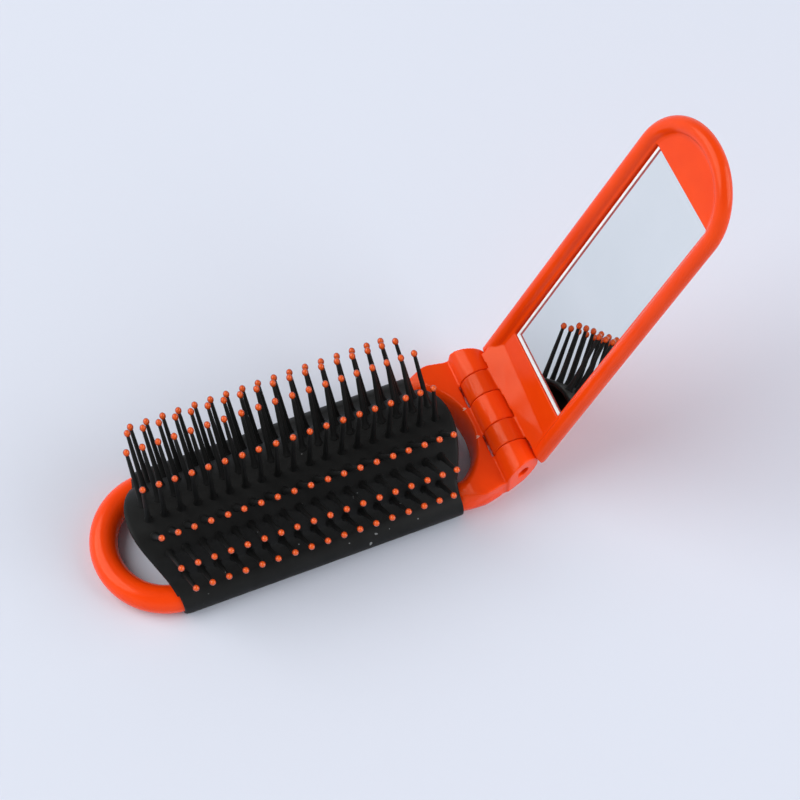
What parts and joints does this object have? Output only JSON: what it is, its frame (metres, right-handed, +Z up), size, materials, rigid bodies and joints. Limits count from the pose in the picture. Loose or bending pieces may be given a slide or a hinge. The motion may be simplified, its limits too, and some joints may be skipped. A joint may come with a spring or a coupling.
{
  "type": "pocket mirror comb",
  "caption": "Folding pocket hair brush: loop frame, arched rubber pad with beaded pins, and a hinged lid with a mirror that closes over the pins.",
  "frame": {"origin": "middle of the flat underside of the frame's web, beneath the middle hinge knuckle", "axes": "+Z up from the desk, +X from the loop end towards the hinge, +Y across the brush along the hinge"},
  "size_m": [0.1425, 0.044, 0.093],
  "materials": {
    "frame_orange": "glossy orange-red moulded plastic",
    "lid_orange": "glossy orange-red moulded plastic",
    "pad_rubber": "matte black moulded rubber; the bead at each pin's end is orange in the scene",
    "pin_steel": "plain steel wire pin",
    "mirror_silver": "clear silvered glass"
  },
  "bodies": {
    "frame": {"brush_frame": "frame_orange", "hinge_pin": "pin_steel", "pad_channel_far": "pad_rubber", "pad_channel_near": "pad_rubber", "bristle_row_1": "pad_rubber", "bristle_row_2": "pad_rubber", "bristle_row_3": "pad_rubber", "bristle_row_4": "pad_rubber", "bristle_row_5": "pad_rubber", "bristle_row_6": "pad_rubber", "bristle_row_7": "pad_rubber"},
    "lid": {"mirror_lid": "lid_orange", "mirror_glass": "mirror_silver"}
  },
  "joints": [
    {"name": "lid_hinge", "type": "hinge", "parent": "frame", "child": "lid", "pos_m": [0.00525, 0, 0.0082], "axis": [0, 1, 0], "range_deg": [-116.5, 64.7], "deforming": ["bristle_row_1", "bristle_row_2", "bristle_row_3", "bristle_row_4", "bristle_row_5", "bristle_row_6", "bristle_row_7"]}
  ]
}
